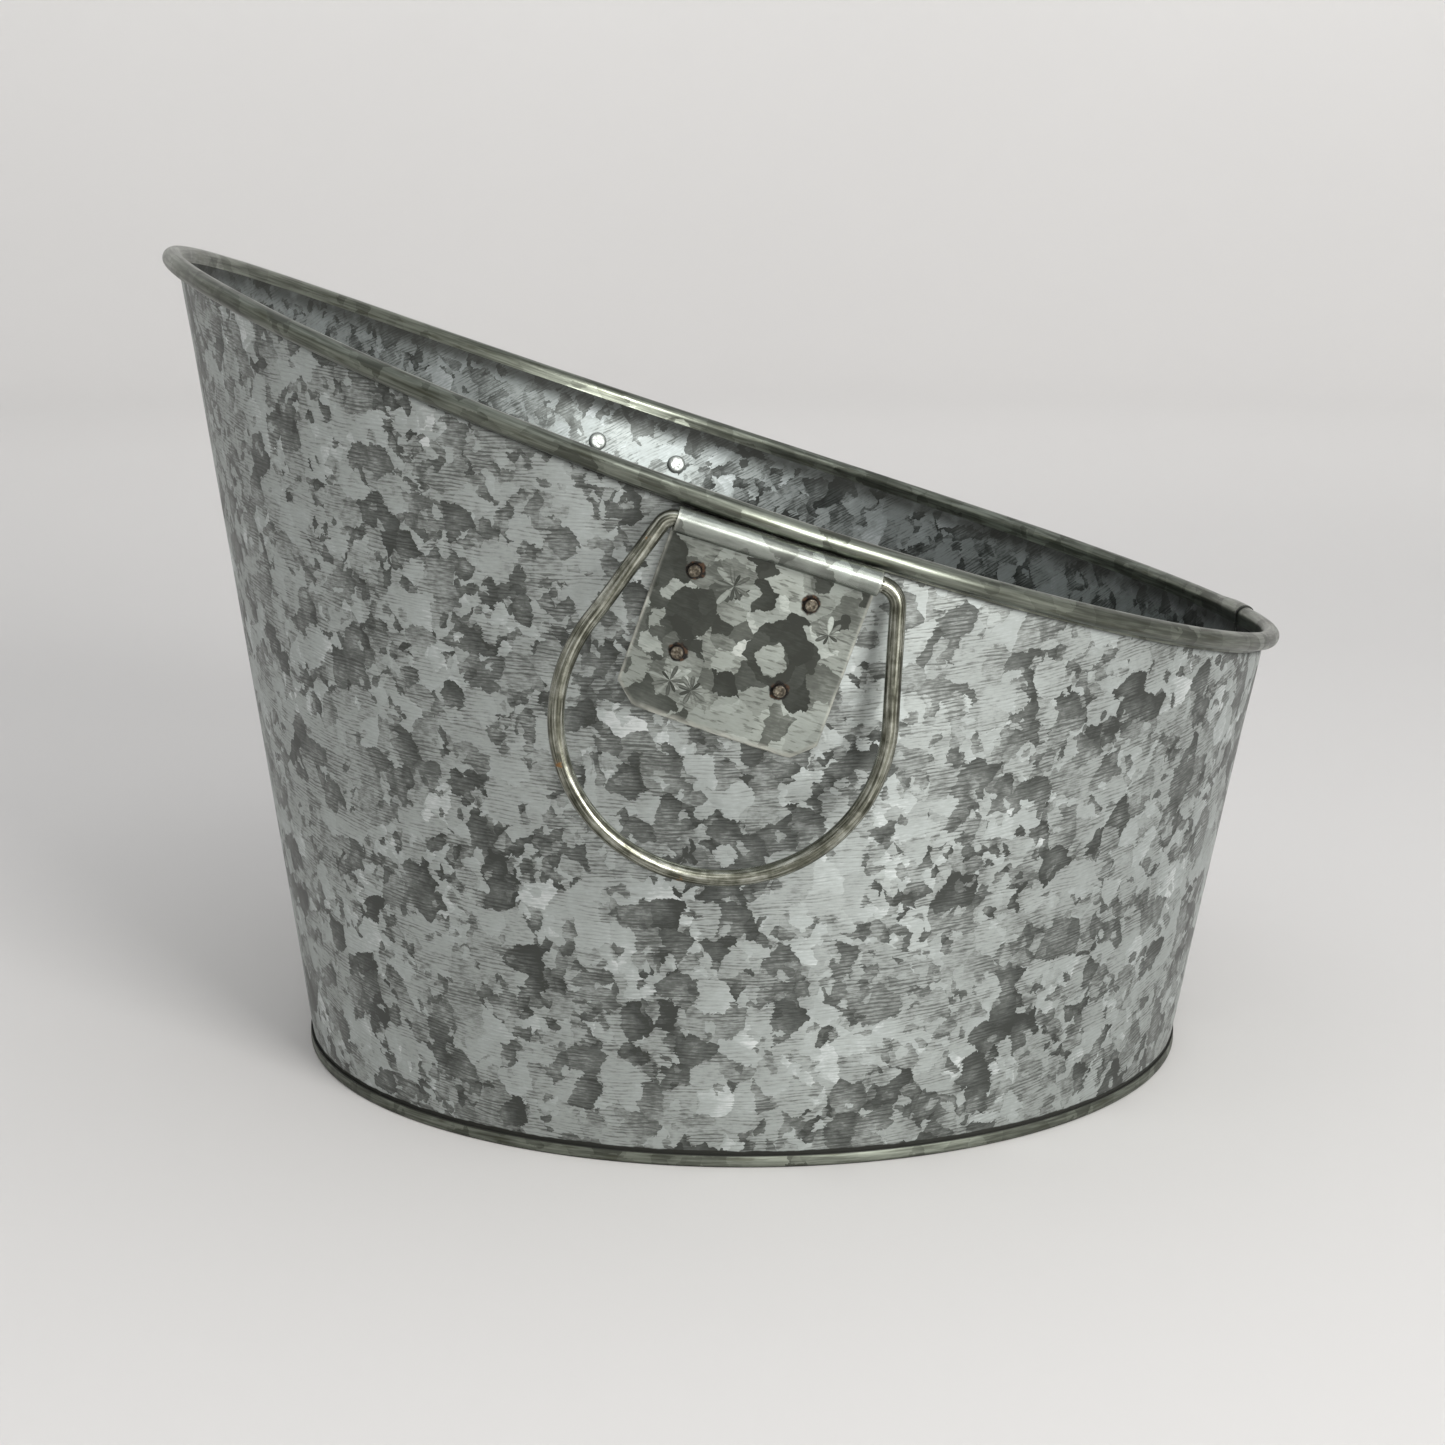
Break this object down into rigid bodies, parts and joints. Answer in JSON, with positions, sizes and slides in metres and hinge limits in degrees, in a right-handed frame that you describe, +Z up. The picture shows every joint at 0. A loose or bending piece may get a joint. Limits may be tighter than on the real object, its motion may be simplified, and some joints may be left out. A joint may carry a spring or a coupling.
{
  "type": "florist bucket",
  "caption": "Round tapered galvanised steel bucket with a slanted wired rim, a recessed floor and a swinging D-ring handle in a riveted bracket on each long side.",
  "frame": {"origin": "centre of the bounding box, on the surface that the bucket stands on", "axes": "+Z up; +X towards the low end of the slanted rim; -Y is the near bracket's side"},
  "size_m": [0.3492, 0.3544, 0.253],
  "materials": {
    "wall_zinc": "spangled galvanised, weathered",
    "floor_zinc": "spangled galvanised, dull",
    "bracket_zinc": "coarse spangled galvanised",
    "handle_zinc": "dull galvanised wire with rust spots",
    "steel_wire": "plain drawn wire",
    "rivet_steel": "brown, lightly rusted"
  },
  "bodies": {
    "bucket": {"wall": "wall_zinc", "rim_wire": "steel_wire", "floor_pan": "floor_zinc", "bracket_near": "bracket_zinc", "bracket_far": "bracket_zinc", "rivet_near_1": "rivet_steel", "rivet_near_2": "rivet_steel", "rivet_near_3": "rivet_steel", "rivet_near_4": "rivet_steel", "rivet_far_1": "rivet_steel", "rivet_far_2": "rivet_steel", "rivet_far_3": "rivet_steel", "rivet_far_4": "rivet_steel"},
    "near_handle": {"handle_near": "handle_zinc"},
    "far_handle": {"handle_far": "handle_zinc"}
  },
  "joints": [
    {"name": "near_handle_swing", "type": "hinge", "parent": "bucket", "child": "near_handle", "pos_m": [-0.00864, -0.17245, 0.1801], "axis": [-0.948, 0.0466, 0.3148], "range_deg": [-10, 160]},
    {"name": "far_handle_swing", "type": "hinge", "parent": "bucket", "child": "far_handle", "pos_m": [-0.00864, 0.17245, 0.1801], "axis": [0.948, 0.0466, -0.3148], "range_deg": [-10, 160]}
  ]
}
